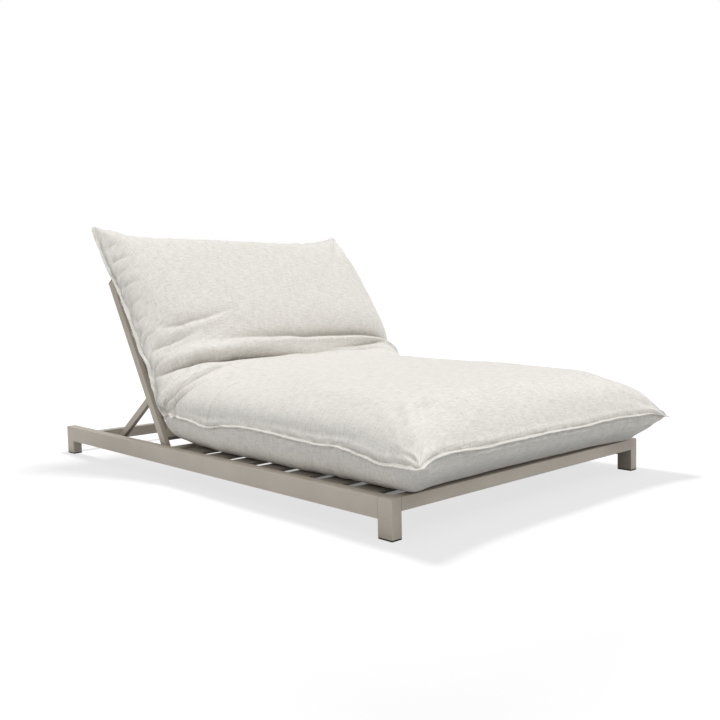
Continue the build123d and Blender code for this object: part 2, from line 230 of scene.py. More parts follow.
def makeFloor(s):
    half = s["floorHalf"]
    corners = [(-half, -half, 0), (half, -half, 0), (half, half, 0), (-half, half, 0)]
    mesh = bpy.data.meshes.new("paleFloor")
    mesh.from_pydata(corners, [], [(0, 1, 2, 3)])
    floor = bpy.data.objects.new("paleFloor", mesh)
    bpy.context.scene.collection.objects.link(floor)
    paint, tree, shader = newMaterial("paleFloorPaint")
    shader.inputs["Base Color"].default_value = (*[s["floorColor"]] * 3, 1)
    shader.inputs["Emission Color"].default_value = (1, 1, 1, 1)
    shader.inputs["Roughness"].default_value = 0.9
    shader.inputs["Specular IOR Level"].default_value = 0.1
    shadowUnderSlats, around, far = s["floorSeen"]
    # painted shade: the floor glows less under the lounger
    shed = mapTo(tree, openFloor(tree, *s["shedShadePatch"]), *s["floorShed"])
    # painted shadow: the floor shows darker under the slats, seen through their gaps
    seen = mapTo(tree, openFloor(tree, *s["slatShadowPatch"]), shadowUnderSlats, around)
    seen = mapTo(tree, openFloor(tree, *s["nearPatch"]), seen, far)
    tree.links.new(seenOrShed(tree, shed, seen), shader.inputs["Emission Strength"])
    mesh.materials.append(paint)
    return floor


def makeStudio(s):
    bpy.context.scene.view_settings.view_transform = "Standard"
    makeSky(s)
    makeSun("keyLight", s["keyFrom"], s["keyPower"], s["keySoftnessDeg"])
    makeSun("rearLight", s["rearFrom"], s["rearPower"], s["rearSoftnessDeg"])
    shadowLight = makeLamp("shadowLight", s["shadowPlace"], s["shadowPower"], s["shadowSize"])
    floor = makeFloor(s)
    onlyFloor = bpy.data.collections.new("onlyFloor")
    onlyFloor.objects.link(floor)
    shadowLight.light_linking.receiver_collection = onlyFloor


makeCamera(cameraView)
makeStudio(studio)
print("camera, lights and floor made")


# Finishes of the frame
frameCoat = {
    "light": (0.595, 0.535, 0.456),
    "dark": (0.53, 0.474, 0.402),
    "roughness": 0.42,
    "grainSize": 0.0011,  # the fine dimples of baked powder
    "grainHeight": 0.00006,
    "cloudScale": 5.0,
    "slatPaintedShade": 0.60,  # painted shade: the slats' coat is this share as bright, for the mattress's shadow on them
}


def makeFrameCoat(c, name, shade):
    material, tree, shader = newMaterial(name)
    place = coordinates(tree, "Object")
    cloud = noise(tree, place, c["cloudScale"], 3.0)
    # a shade below 1 gives a darker copy of the coat: painted shade, used for the slats
    mottle(tree, shader, cloud, scaled(c["dark"], shade), scaled(c["light"], shade))
    grain = noise(tree, place, 1 / c["grainSize"])
    varyGloss(tree, shader, grain, c["roughness"], 0.05, 0.08)
    addBump(tree, shader, grain, c["grainHeight"], 1.0)
    return material


blackPlastic = {"color": (0.018, 0.018, 0.019), "roughness": 0.5, "grainSize": 0.0008, "grainHeight": 0.00005}


def makeBlackPlastic(c):
    material, tree, shader = newMaterial("blackPlastic")
    grain = noise(tree, coordinates(tree, "Object"), 1 / c["grainSize"], 3.0)
    mottle(tree, shader, grain, scaled(c["color"], 0.8), scaled(c["color"], 1.5))
    shader.inputs["Roughness"].default_value = c["roughness"]
    addBump(tree, shader, grain, c["grainHeight"], 1.0)
    return material


boltSteel = {"color": (0.60, 0.60, 0.59), "roughness": 0.32, "brushSize": 0.0006, "brushStretch": 0.06}


def makeBoltSteel(c):
    material, tree, shader = newMaterial("boltSteel")
    place = stretched(tree, coordinates(tree, "Object"), (1, c["brushStretch"], 1))
    brushed = noise(tree, place, 1 / c["brushSize"])
    mottle(tree, shader, brushed, scaled(c["color"], 0.88), c["color"])
    shader.inputs["Metallic"].default_value = 1.0
    varyGloss(tree, shader, brushed, c["roughness"], 0.08, 0.1)
    return material


def dressFrame(slots):
    for name, node in frame["nodes"].items():
        slotName = slotOf.get(name)
        if slotName not in slots:
            continue
        material = slots[slotName]
        if not node.material_slots:
            node.data.materials.append(material)
        for place in node.material_slots:
            place.material = material


slotOf = {}
for entry in frame["record"]["subparts"]:
    # the slats take a darker copy of the frame's coat, as painted shade
    isSlat = "_slat_" in entry["node"] and "ledge" not in entry["node"]
    slotOf[entry["node"]] = "slat" if isSlat else entry["material_slot"]

dressFrame({
    "frame_coat": makeFrameCoat(frameCoat, "frameCoat", 1),
    "slat": makeFrameCoat(frameCoat, "slatCoatPaintedShade", frameCoat["slatPaintedShade"]),
    "black_plastic": makeBlackPlastic(blackPlastic),
    "bolt_steel": makeBoltSteel(boltSteel),
})
print("frame coated")

# The mattress's form
tiltJoint = next(j for j in frame["joints"] if j["name"] == "backrest_tilt")
pivot = Vector(tiltJoint["pos_m"])
backAngle = -math.radians(tiltJoint["range_deg"][0])  # the backrest's slope at rest
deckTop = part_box("seat_slat_1")[1].z - pivot.z  # both decks' height above the pivot

mattressForm = {
    "halfWidth": 0.648,
    "earFlare": 0.010,  # how far the sides run out towards the corners
    "seatEnd": 1.363,  # from the pivot to the foot edge's middle
    "backEnd": 0.932,
    "seatEar": (0.048, 0.064),  # how far the near and the far corner run out
    "backEar": (0.060, 0.040),
    "footRound": 0.25,
    "headRound": 0.25,
    "underRound": 0.10,
    "underFullness": (1.7, 1.7),
    "clearance": 0.0008,
    "endSeamSpan": 0.66,  # half the width that footSeam and headSeam are given over
    "endSeamReach": 0.22,  # how far from the end the side seam turns into the end's
    # seam height over the pivot plane, against distance from the pivot
    "seatSeamNear": ((0.06, 0.150), (0.14, 0.146), (0.25, 0.140), (0.366, 0.127), (0.469, 0.142),
                     (0.80, 0.144), (0.987, 0.136), (1.06, 0.140), (1.187, 0.127), (1.29, 0.113),
                     (1.347, 0.124), (1.41, 0.122)),
    "seatSeamFar": ((0.06, 0.150), (0.30, 0.138), (0.60, 0.145), (1.00, 0.138), (1.25, 0.122), (1.41, 0.120)),
    "backSeamNear": ((0.09, 0.132), (0.145, 0.118), (0.20, 0.124), (0.252, 0.123), (0.305, 0.136),
                     (0.373, 0.114), (0.45, 0.114), (0.56, 0.108), (0.665, 0.102), (0.75, 0.091),
                     (0.87, 0.080), (0.99, 0.074)),
    "backSeamFar": ((0.09, 0.132), (0.25, 0.124), (0.45, 0.116), (0.665, 0.100), (0.87, 0.082),
                    (0.99, 0.078)),
    "footSeam": ((-0.66, 0.118), (-0.60, 0.134), (-0.52, 0.137), (-0.38, 0.131), (0.0, 0.131),
                 (0.21, 0.127), (0.35, 0.131), (0.48, 0.131), (0.616, 0.124), (0.66, 0.114)),
    "headSeam": ((-0.66, 0.080), (-0.45, 0.072), (0.0, 0.070), (0.45, 0.074), (0.66, 0.086)),
    # crown height over the pivot plane, against distance from the pivot
    "seatCrown": ((0.06, 0.318), (0.14, 0.311), (0.30, 0.305), (0.60, 0.300), (0.90, 0.292),
                  (1.15, 0.282), (1.40, 0.270)),
    "backCrown": ((0.25, 0.228), (0.33, 0.222), (0.48, 0.226), (0.65, 0.214), (0.80, 0.192), (0.97, 0.165)),
    "seatCrownFall": 0.010,  # how much lower the crown runs by the sides
    "backCrownFall": 0.003,
    # how far the flat underside reaches across, against distance from the pivot
    "underReach": ((0.0, 0.492), (0.155, 0.530), (0.30, 0.550), (0.46, 0.562), (1.10, 0.558), (1.40, 0.545)),
    "backUnderShare": 0.80,  # the same on the back, as a share of the half width
    "farRise": 0.024,  # how much fuller the seat's far side is by the fold
    "farRiseReach": 0.5,
    "foldSeam": (0.062, 0.150),  # seat side: distance from the pivot and height
    "foldCrease": (0.061, 0.322),
    "foldReach": 0.14,
    "foldUnderShare": 0.74,  # how far the underside stays flat across, at the fold
    "foldUnderFullness": (1.8, 1.8),
    "foldFade": 0.3,  # how far along the back the seat's side form turns into its own
    # a higher first figure keeps the top flat nearer to the side
    "seatNearFullness": (7.5, 2.1),
    "backNearFullness": (3.7, 1.9),
    "farFullness": (11, 2.8),
    "endFullness": (4.5, 2.3),
    "domed": 0.05,  # the share of the rise that spreads over the whole width
    "seatSwell": 0.012,  # how far the side wall stands out past the seam
    "backSwell": 0.026,
    "acrossCount": 104,
    "seatCount": 118,
    "backCount": 96,
    "foldRows": 2.2,  # how much closer the rows lie at the fold
    "foldRowsReach": 0.10,
    "seamRows": 1.5,  # and at the seam
    "seamRowsReach": 0.03,
}


def through(points, at):
    # a smooth line through a few points
    xs, ys = (np.array(v, float) for v in zip(*points))
    slopes = np.gradient(ys, xs)
    at = np.clip(at, xs[0], xs[-1])
    k = np.clip(np.searchsorted(xs, at) - 1, 0, len(xs) - 2)
    step = xs[k + 1] - xs[k]
    t = (at - xs[k]) / step
    return ((2 * t**3 - 3 * t**2 + 1) * ys[k] + (t**3 - 2 * t**2 + t) * step * slopes[k]
            + (3 * t**2 - 2 * t**3) * ys[k + 1] + (t**3 - t**2) * step * slopes[k + 1])


def smoothStep(t):
    t = np.clip(t, 0, 1)
    return t * t * (3 - 2 * t)


def bulge(share, power, root):
    return np.maximum(0, 1 - np.clip(share, 0, 1) ** power) ** (1 / root)


def evenShares(form, profile, count, packed=0):
    # shares from 0 to 1 that cut a profile into steps along its line,
    # which lie closer at its end, and at its start if packed
    fine = np.linspace(0, 1, 4001)
    x, z = profile(fine)
    step = np.hypot(np.diff(x), np.diff(z))
    fromStart = np.cumsum(step)
    fromEnd = fromStart[-1] - fromStart
    atStart = packed * np.exp(-((fromStart / form["foldRowsReach"]) ** 2))
    atEnd = form["seamRows"] * np.exp(-((fromEnd / form["seamRowsReach"]) ** 2))
    step *= 1 + atStart + atEnd
    run = np.concatenate([[0], np.cumsum(step)])
    return np.interp(np.linspace(0, run[-1], count + 1), run, fine)


def sideShare(form, a, onBack):
    # how far the top has risen from the seam to its crown, across the mattress
    a, onBack = np.broadcast_arrays(a, onBack)
    names = ("seatNearFullness", "backNearFullness", "farFullness")
    seatNear, backNear, far = (bulge(np.abs(a), *form[name]) for name in names)
    full = np.where(a < 0, seatNear + (backNear - seatNear) * onBack, far)
    return (1 - form["domed"]) * full + form["domed"] * (1 - np.abs(a) ** 2.5)


class Half:
    # one half of the mattress, in its own plane: along from the pivot, height over the pivot plane
    def __init__(self, form, name):
        self.form, self.name = form, name
        self.seat = name == "seat"
        self.end = form[name + "End"]
        self.round = form["footRound" if self.seat else "headRound"]
        self.endSeam = form["footSeam" if self.seat else "headSeam"]

    def sideX(self, along):
        flare = self.form["earFlare"] * smoothStep((along - self.end * 0.55) / (self.end * 0.45)) ** 2
        return self.form["halfWidth"] + flare

    def endAt(self, a):
        near, far = self.form[self.name + "Ear"]
        return self.end + np.where(a < 0, near, far) * np.abs(a) ** 5

    def seam(self, a, along):
        near = through(self.form[self.name + "SeamNear"], along)
        far = through(self.form[self.name + "SeamFar"], along)
        side = near + (far - near) * smoothStep((a + 1) / 2)
        atEnd = through(self.endSeam, a * self.form["endSeamSpan"])
        reach = self.form["endSeamReach"]
        return side + (atEnd - side) * smoothStep((along - self.endAt(a) + reach) / reach)

    def top(self, a, along):
        seam = self.seam(a, along)
        crown = through(self.form[self.name + "Crown"], along) - self.form[self.name + "CrownFall"] * a**2
        if self.seat:
            fade = np.exp(-np.abs(along) / self.form["farRiseReach"])
            crown = crown + self.form["farRise"] * smoothStep((a + 0.2) / 1.2) * fade
        left = np.clip((self.endAt(a) - along) / self.round, 0, 1)
        return seam + (crown - seam) * self.share(a, along) * bulge(1 - left, *self.form["endFullness"])

    def share(self, a, along):
        return sideShare(self.form, a, 0 if self.seat else smoothStep(along / self.form["foldFade"]))

    def swell(self, a, along):
        # the side wall's stand past the seam, none at the ends
        share = self.share(a, along)
        most = np.sign(a) * self.form[self.name + "Swell"]
        return most * 4 * share * (1 - share) * smoothStep((self.endAt(a) - along) / self.round)

    def under(self, a, along):
        seam = self.seam(a, along)
        reach = self.form["backUnderShare"]
        if self.seat:
            reach = through(self.form["underReach"], along) / self.form["halfWidth"]
        beyond = np.clip((np.abs(a) - reach) / (1 - reach), 0, 1)
        left = np.clip((self.endAt(a) - along) / self.form["underRound"], 0, 1)
        rest = deckTop + self.form["clearance"]
        fullness = self.form["underFullness"]
        return seam - (seam - rest) * bulge(beyond, *fullness) * bulge(1 - left, *fullness)

    def world(self, x, along, height):
        if self.seat:
            return np.stack([x, pivot.y - along, pivot.z + height], -1)
        c, s = math.cos(backAngle), math.sin(backAngle)
        return np.stack([x, pivot.y + along * c - height * s, pivot.z + along * s + height * c], -1)

    def local(self, y, z):
        # from the pivot's own y and z to along and height
        if self.seat:
            return -y, z
        c, s = math.cos(backAngle), math.sin(backAngle)
        return y * c + z * s, -y * s + z * c


def foldLine(form, a, isTop):
    # where both halves meet, as y and z from the pivot
    seamY, seamZ = -form["foldSeam"][0], form["foldSeam"][1]
    if isTop:
        y, z = -form["foldCrease"][0], form["foldCrease"][1]
        share = sideShare(form, a, 0)
    else:
        z = deckTop + form["clearance"]
        y = -z * math.tan(backAngle / 2)
        flat = form["foldUnderShare"]
        beyond = np.clip((np.abs(a) - flat) / (1 - flat), 0, 1)
        share = bulge(beyond, *form["foldUnderFullness"])
    return seamY + (y - seamY) * share, seamZ + (z - seamZ) * share


def halfSheet(form, half, isTop, rows, columns):
    # points from the fold to the end edge by rows, and across by columns
    a, t = columns[None, :], rows[:, None]
    along0, height0 = half.local(*foldLine(form, a, isTop))
    along = along0 + (half.endAt(a) - along0) * t
    surface = half.top if isTop else half.under
    miss = height0 - surface(a, along0)
    height = surface(a, along) + miss * (1 - smoothStep((along - along0) / form["foldReach"]))
    x = a * half.sideX(along)
    if isTop:
        x = x + half.swell(a, along)
    return half.world(x, along, height)


def wholeSheet(form, isTop):
    # the foot end's row first, then past the fold to the head end's row
    seat, back = Half(form, "seat"), Half(form, "back")
    middle = 0.6  # where along the seat the columns are spaced out

    def acrossProfile(a):
        return a * form["halfWidth"], seat.top(a, middle)

    def sheetRows(half):
        def alongProfile(t):
            return t * half.end, half.top(0.0, t * half.end)

        return evenShares(form, alongProfile, form[half.name + "Count"], form["foldRows"])

    side = evenShares(form, acrossProfile, form["acrossCount"] // 2)
    columns = np.concatenate([-side[:0:-1], side])
    seatSheet = halfSheet(form, seat, isTop, sheetRows(seat), columns)[::-1]
    backSheet = halfSheet(form, back, isTop, sheetRows(back), columns)[1:]
    return np.concatenate([seatSheet, backSheet])


def measured(sheet, foldRow):
    # the cloth's own lengths over the sheet, across from the middle and along from the fold
    acrossStep = np.linalg.norm(np.diff(sheet, axis=1), axis=2)
    across = np.concatenate([np.zeros((len(sheet), 1)), np.cumsum(acrossStep, axis=1)], axis=1)
    across -= across[:, [sheet.shape[1] // 2]]
    alongStep = np.linalg.norm(np.diff(sheet, axis=0), axis=2)
    along = np.concatenate([np.zeros((1, sheet.shape[1])), np.cumsum(alongStep, axis=0)], axis=0)
    along -= along[[foldRow], :]
    return np.stack([across, along, np.zeros_like(along)], -1)


def seamGap(grain):
    # the cloth's length from each point to the side seam and to the end seam
    across, along = grain[..., 0], grain[..., 1]
    fromSide = np.minimum(across - across[:, [0]], across[:, [-1]] - across)
    fromEnd = np.minimum(along - along[[0], :], along[[-1], :] - along)
    return np.stack([fromSide, fromEnd], -1)


def sewSheets(name, top, under, foldRow):
    # both sheets share the points of the seam all round
    rows, columns = top.shape[:2]
    topIndex = np.arange(rows * columns).reshape(rows, columns)
    underIndex = topIndex.copy()
    inner = (rows - 2) * (columns - 2)
    underIndex[1:-1, 1:-1] = rows * columns + np.arange(inner).reshape(rows - 2, columns - 2)
    points = np.concatenate([top.reshape(-1, 3), under[1:-1, 1:-1].reshape(-1, 3)])

    def quads(index):
        return np.stack([index[:-1, :-1], index[:-1, 1:], index[1:, 1:], index[1:, :-1]], -1).reshape(-1, 4)

    faces = np.concatenate([quads(topIndex), quads(underIndex)[:, ::-1]])
    mesh = bpy.data.meshes.new(name)
    mesh.from_pydata(points.tolist(), [], faces.tolist())
    piece = bpy.data.objects.new(name, mesh)
    bpy.context.scene.collection.objects.link(piece)
    mesh.polygons.foreach_set("use_smooth", [True] * len(faces))
    grainTop, grainUnder = measured(top, foldRow), measured(under, foldRow)
    grainUnder[..., 2] = 1
    grain = np.concatenate([grainTop.reshape(-1, 3), grainUnder[1:-1, 1:-1].reshape(-1, 3)])
    attribute = mesh.attributes.new("clothGrain", "FLOAT_VECTOR", "POINT")
    attribute.data.foreach_set("vector", grain.astype(np.float32).ravel())
    gap = np.concatenate([seamGap(grainTop).reshape(-1, 2), seamGap(grainUnder)[1:-1, 1:-1].reshape(-1, 2)])
    for name, values in (("fromSide", gap[:, 0]), ("fromEnd", gap[:, 1])):
        attribute = mesh.attributes.new(name, "FLOAT", "POINT")
        attribute.data.foreach_set("value", values.astype(np.float32))
    edge = np.concatenate([topIndex[0, :-1], topIndex[:-1, -1], topIndex[-1, :0:-1], topIndex[:0:-1, 0]])
    corners = np.cumsum([0, columns - 1, rows - 1, columns - 1])
    return piece, edge, corners


foldRow = mattressForm["seatCount"]
topSheet = wholeSheet(mattressForm, True)
underSheet = wholeSheet(mattressForm, False)
mattress, seamEdge, seamCorners = sewSheets("mattress", topSheet, underSheet, foldRow)
print("mattress sewn,", len(mattress.data.vertices), "points")


def readPoints(mesh):
    flat = np.zeros(len(mesh.vertices) * 3, np.float32)
    mesh.vertices.foreach_get("co", flat)
    return flat.reshape(-1, 3).astype(float)


def writePoints(mesh, points):
    mesh.vertices.foreach_set("co", points.astype(np.float32).ravel())
    mesh.update()


def readAttribute(mesh, name):
    attribute = mesh.attributes[name]
    wide = attribute.data_type == "FLOAT_VECTOR"
    flat = np.zeros(len(mesh.vertices) * (3 if wide else 1), np.float32)
    attribute.data.foreach_get("vector" if wide else "value", flat)
    return flat.reshape(-1, 3).astype(float) if wide else flat.astype(float)


def readNormals(mesh):
    flat = np.zeros(len(mesh.vertices) * 3, np.float32)
    mesh.vertex_normals.foreach_get("vector", flat)
    return flat.reshape(-1, 3).astype(float)


# the filling pushes the cloth out, as it does in the real mattress
clothFill = {
    "pressure": 4.0,
    "frames": 20,
    "cap": 0.014,  # no point moves further than this
    "stiffness": 12,
    "shear": 5,
    "bending": 0.4,
    "mass": 0.3,
    "underHeld": 0.12,  # the underside stays where it is this far in from the seam
}


def inflate(piece, fill):
    mesh = piece.data
    start = readPoints(mesh)
    grain = readAttribute(mesh, "clothGrain")
    gap = np.minimum(readAttribute(mesh, "fromSide"), readAttribute(mesh, "fromEnd"))
    held = (gap < 1e-6) | ((grain[:, 2] > 0.5) & (gap > fill["underHeld"]))
    group = piece.vertex_groups.new(name="heldCloth")
    group.add(np.nonzero(held)[0].tolist(), 1.0, "REPLACE")
    cloth = piece.modifiers.new("filling", "CLOTH")
    settings = cloth.settings
    settings.quality = 5
    settings.mass = fill["mass"]
    settings.tension_stiffness = fill["stiffness"]
    settings.compression_stiffness = fill["stiffness"]
    settings.shear_stiffness = fill["shear"]
    settings.bending_stiffness = fill["bending"]
    settings.use_pressure = True
    settings.uniform_pressure_force = fill["pressure"]
    settings.vertex_group_mass = group.name
    settings.effector_weights.gravity = 0
    scene = bpy.context.scene
    scene.frame_start, scene.frame_end = 1, fill["frames"]
    cloth.point_cache.frame_start, cloth.point_cache.frame_end = 1, fill["frames"]
    for step in range(1, fill["frames"] + 1):
        scene.frame_set(step)
    posed = piece.evaluated_get(bpy.context.evaluated_depsgraph_get())
    moved = readPoints(posed.data) - start
    piece.modifiers.remove(cloth)
    piece.vertex_groups.remove(group)
    scene.frame_set(1)
    length = np.linalg.norm(moved, axis=1, keepdims=True)
    moved *= np.minimum(1, fill["cap"] / np.maximum(length, 1e-9))
    writePoints(mesh, start + moved)
    print("filled, the cloth moved by up to", fill["cap"] * 1000, "mm")


def subdivide(piece, levels):
    modifier = piece.modifiers.new("finer", "SUBSURF")
    modifier.levels = modifier.render_levels = levels
    made = bpy.data.meshes.new_from_object(piece.evaluated_get(bpy.context.evaluated_depsgraph_get()))
    piece.modifiers.clear()
    old, piece.data = piece.data, made
    bpy.data.meshes.remove(old)
    made.name = piece.name


# Creases, in the cloth's own lengths: across from the middle, along from the fold.
# Above is the head's side of a line, below the foot's. Strength runs over the line's length.
creases = {
    "fold": {
        "line": ((-0.80, 0.172), (-0.712, 0.126), (-0.66, 0.082), (-0.62, 0.060), (-0.554, 0.040),
                 (-0.474, 0.022), (-0.40, 0.012), (0.0, 0.010), (0.30, 0.012), (0.45, 0.026),
                 (0.60, 0.05), (0.80, 0.07)),
        "depth": 0.046, "above": 0.022, "below": 0.007, "liftAbove": 0.018, "liftBelow": 0.003,
        "strength": ((0, 0.0), (0.06, 0.12), (0.13, 0.6), (0.20, 1), (0.32, 1), (0.42, 0.7),
                     (0.55, 0.22), (0.75, 0.08), (1, 0.08)),
    },
    "farRoll": {
        "line": ((-0.38, 0.106), (-0.276, 0.107), (-0.132, 0.104), (0.02, 0.100), (0.192, 0.096),
                 (0.368, 0.090), (0.478, 0.086), (0.558, 0.090), (0.66, 0.098), (0.80, 0.104)),
        "depth": 0.043, "above": 0.050, "below": 0.009, "liftAbove": 0.003, "liftBelow": 0.013,
        "shadeAbove": 0.45,
        "strength": ((0, 0), (0.2, 0.35), (0.45, 0.62), (0.7, 0.85), (0.85, 1), (1, 1)),
    },
    "farHollow": {
        "line": ((0.18, 0.020), (0.284, 0.026), (0.372, 0.030), (0.465, 0.038), (0.536, 0.052),
                 (0.58, 0.062)),
        "depth": 0.018, "above": 0.014, "below": 0.007, "liftAbove": 0.002, "liftBelow": 0.003,
        "strength": ((0, 0), (0.5, 0.8), (0.8, 1), (1, 0.2)),
    },
    "cornerArc": {
        "line": ((-0.745, 0.0), (-0.702, -0.030), (-0.663, -0.054), (-0.60, -0.072), (-0.52, -0.066),
                 (-0.43, -0.062), (-0.33, -0.054), (-0.25, -0.046)),
        "depth": 0.024, "above": 0.010, "below": 0.006, "liftAbove": 0.007, "liftBelow": 0.004,
        "strength": ((0, 0.5), (0.12, 0.9), (0.4, 1), (0.7, 0.6), (1, 0)),
    },
    "cornerArcOuter": {
        "line": ((-0.745, -0.035), (-0.695, -0.070), (-0.645, -0.098), (-0.571, -0.116), (-0.50, -0.118)),
        "depth": 0.020, "above": 0.009, "below": 0.005, "liftAbove": 0.006, "liftBelow": 0.003,
        "strength": ((0, 0.3), (0.2, 1), (0.5, 0.8), (1, 0)),
    },
    "seatPull": {
        "line": ((-0.75, -0.28), (-0.668, -0.293), (-0.575, -0.287), (-0.485, -0.28), (-0.40, -0.27)),
        "depth": 0.009, "above": 0.012, "below": 0.008, "liftAbove": 0.004, "liftBelow": 0.003,
        "strength": ((0, 0.4), (0.2, 1), (0.5, 0.7), (1, 0)),
    },
    "backNearLong": {
        "line": ((-0.58, 0.240), (-0.50, 0.216), (-0.42, 0.214), (-0.348, 0.224), (-0.226, 0.243)),
        "depth": 0.017, "above": 0.026, "below": 0.010, "liftAbove": 0.002, "liftBelow": 0.006,
        "strength": ((0, 0.3), (0.2, 1), (0.5, 0.8), (1, 0)),
    },
    "backNearShort": {
        "line": ((-0.70, 0.205), (-0.66, 0.192), (-0.625, 0.18), (-0.583, 0.164), (-0.523, 0.159),
                 (-0.44, 0.158)),
        "depth": 0.015, "above": 0.013, "below": 0.006, "liftAbove": 0.003, "liftBelow": 0.005,
        "strength": ((0, 0.2), (0.3, 1), (0.6, 0.8), (1, 0)),
    },
    "backNearUpper": {
        "line": ((-0.73, 0.285), (-0.67, 0.262), (-0.63, 0.250), (-0.56, 0.262)),
        "depth": 0.009, "above": 0.010, "below": 0.006, "liftAbove": 0.003, "liftBelow": 0.003,
        "strength": ((0, 0.3), (0.3, 1), (1, 0)),
    },
    "backNearLower": {
        "line": ((-0.72, 0.150), (-0.67, 0.132), (-0.62, 0.118), (-0.56, 0.108)),
        "depth": 0.009, "above": 0.010, "below": 0.006, "liftAbove": 0.003, "liftBelow": 0.003,
        "strength": ((0, 0.3), (0.3, 1), (1, 0)),
    },
    "nearFootTuck": {
        "line": ((-0.692, -1.265), (-0.691, -1.30), (-0.684, -1.33), (-0.672, -1.355)),
        "depth": 0.010, "above": 0.005, "below": 0.010, "liftAbove": 0.003, "liftBelow": 0.001,
        "strength": ((0, 0), (0.5, 0.8), (1, 0.6)),
    },
}

# short slanting pleats that the seam draws into the near side of the back: start, length, depth
backPleats = ((0.78, 0.10, 0.005), (0.70, 0.12, 0.006), (0.63, 0.09, 0.004), (0.57, 0.12, 0.005),
              (0.48, 0.10, 0.004), (0.40, 0.09, 0.004), (0.34, 0.08, 0.003))
pleatSide, pleatDeepening = -0.715, 2.3
for number, (start, length, depth) in enumerate(backPleats):
    bend = (pleatSide + length * 0.5, start - length * 0.5)
    tip = (pleatSide + length * 1.1, start - length * 0.9)
    creases["backPleat" + str(number)] = {
        "line": ((pleatSide, start), bend, tip),
        "depth": depth * pleatDeepening, "above": 0.010, "below": 0.007,
        "liftAbove": 0.002, "liftBelow": 0.002,
        "strength": ((0, 0.3), (0.3, 1), (1, 0)),
    }

# the sharp inner corner of the fold is rounded out towards the sides
cornerFill = {"near": 0.030, "far": 0.030, "reach": 0.055, "from": 0.38, "over": 0.22, "sideFade": 0.05}


def strokeDepth(grain, stroke):
    # how far each point moves out, and how much painted shade it gets in the crease, by its distance from the
    # crease's line
    line = np.array(stroke["line"])
    reach = np.concatenate([[0], np.cumsum(np.linalg.norm(np.diff(line, axis=0), axis=1))])
    best = np.full(len(grain), 9.0)
    signed, share = best.copy(), np.zeros(len(grain))
    for k in range(len(line) - 1):
        step = line[k + 1] - line[k]
        size = np.linalg.norm(step)
        rel = grain[:, :2] - line[k]
        t = np.clip(rel @ step / size**2, 0, 1)
        away = rel - t[:, None] * step
        distance = np.linalg.norm(away, axis=1)
        closer = distance < best
        best = np.where(closer, distance, best)
        signed = np.where(closer, np.sign(step[0] * away[:, 1] - step[1] * away[:, 0]) * distance, signed)
        share = np.where(closer, (reach[k] + t * size) / reach[-1], share)
    strength = np.interp(share, *zip(*stroke["strength"]))
    strength *= best < 0.2
    above, below = stroke["above"], stroke["below"]
    valley = np.exp(-np.abs(best / np.where(signed > 0, above, below)) ** 1.3)
    bellyAbove = np.exp(-(((signed - 2.2 * above) / (1.5 * above)) ** 2))
    ridgeBelow = np.exp(-(((signed + 2.6 * below) / (1.8 * below)) ** 2))
    lift = stroke["liftAbove"] * bellyAbove + stroke["liftBelow"] * ridgeBelow
    creaseShadeReach = np.where(signed > 0, above * stroke.get("shadeAbove", 0.35), below * 0.6)
    creaseShade = strength * stroke["depth"] * np.exp(-np.abs(best / creaseShadeReach) ** 1.5)
    return strength * (lift - stroke["depth"] * valley), creaseShade


def ripple(at, spacing, seed):
    # smooth random waves along one length, between -1 and 1
    values = np.random.default_rng(seed).uniform(-1, 1, 400)
    place = at / spacing + 200
    k = np.floor(place).astype(int) % 399
    t = smoothStep(place - np.floor(place))
    return values[k] * (1 - t) + values[k + 1] * t


def dapple(x, y, spacing, seed):
    # smooth random hills over the cloth, between about -1 and 1
    values = np.random.default_rng(seed).uniform(-1, 1, (80, 80))
    px, py = x / spacing + 40, y / spacing + 40
    i, j = np.floor(px).astype(int) % 79, np.floor(py).astype(int) % 79
    tx, ty = smoothStep(px - np.floor(px)), smoothStep(py - np.floor(py))
    low = values[i, j] * (1 - tx) + values[i + 1, j] * tx
    high = values[i, j + 1] * (1 - tx) + values[i + 1, j + 1] * tx
    return low * (1 - ty) + high * ty


puckers = {
    "depth": 0.0045,
    "reach": 0.055,
    "spacing": 0.030,
    "underDepth": 0.7,  # how much deeper, and how much longer, they run on the underside
    "underReach": 0.6,
    "seamFade": 0.012,  # they start this far in from the seam
    "hills": 0.003,
    "hillsUnder": 0.4,  # the hills' share on the underside
    "hillsFade": 0.08,
    "wander": (0.004, 0.09),  # how far the crease lines wander, and over which length
}
# the filling swells beside the seam, and a thin line of painted shade runs along the seam at the lip's root
seamChannel = {"lift": 0.0035, "at": 0.017, "width": 0.010, "shade": 0.55, "paintedShadeWidth": 0.005}
creaseShading = {"full": 0.022, "sideFade": 0.06}  # the crease depth at which the painted shade is full
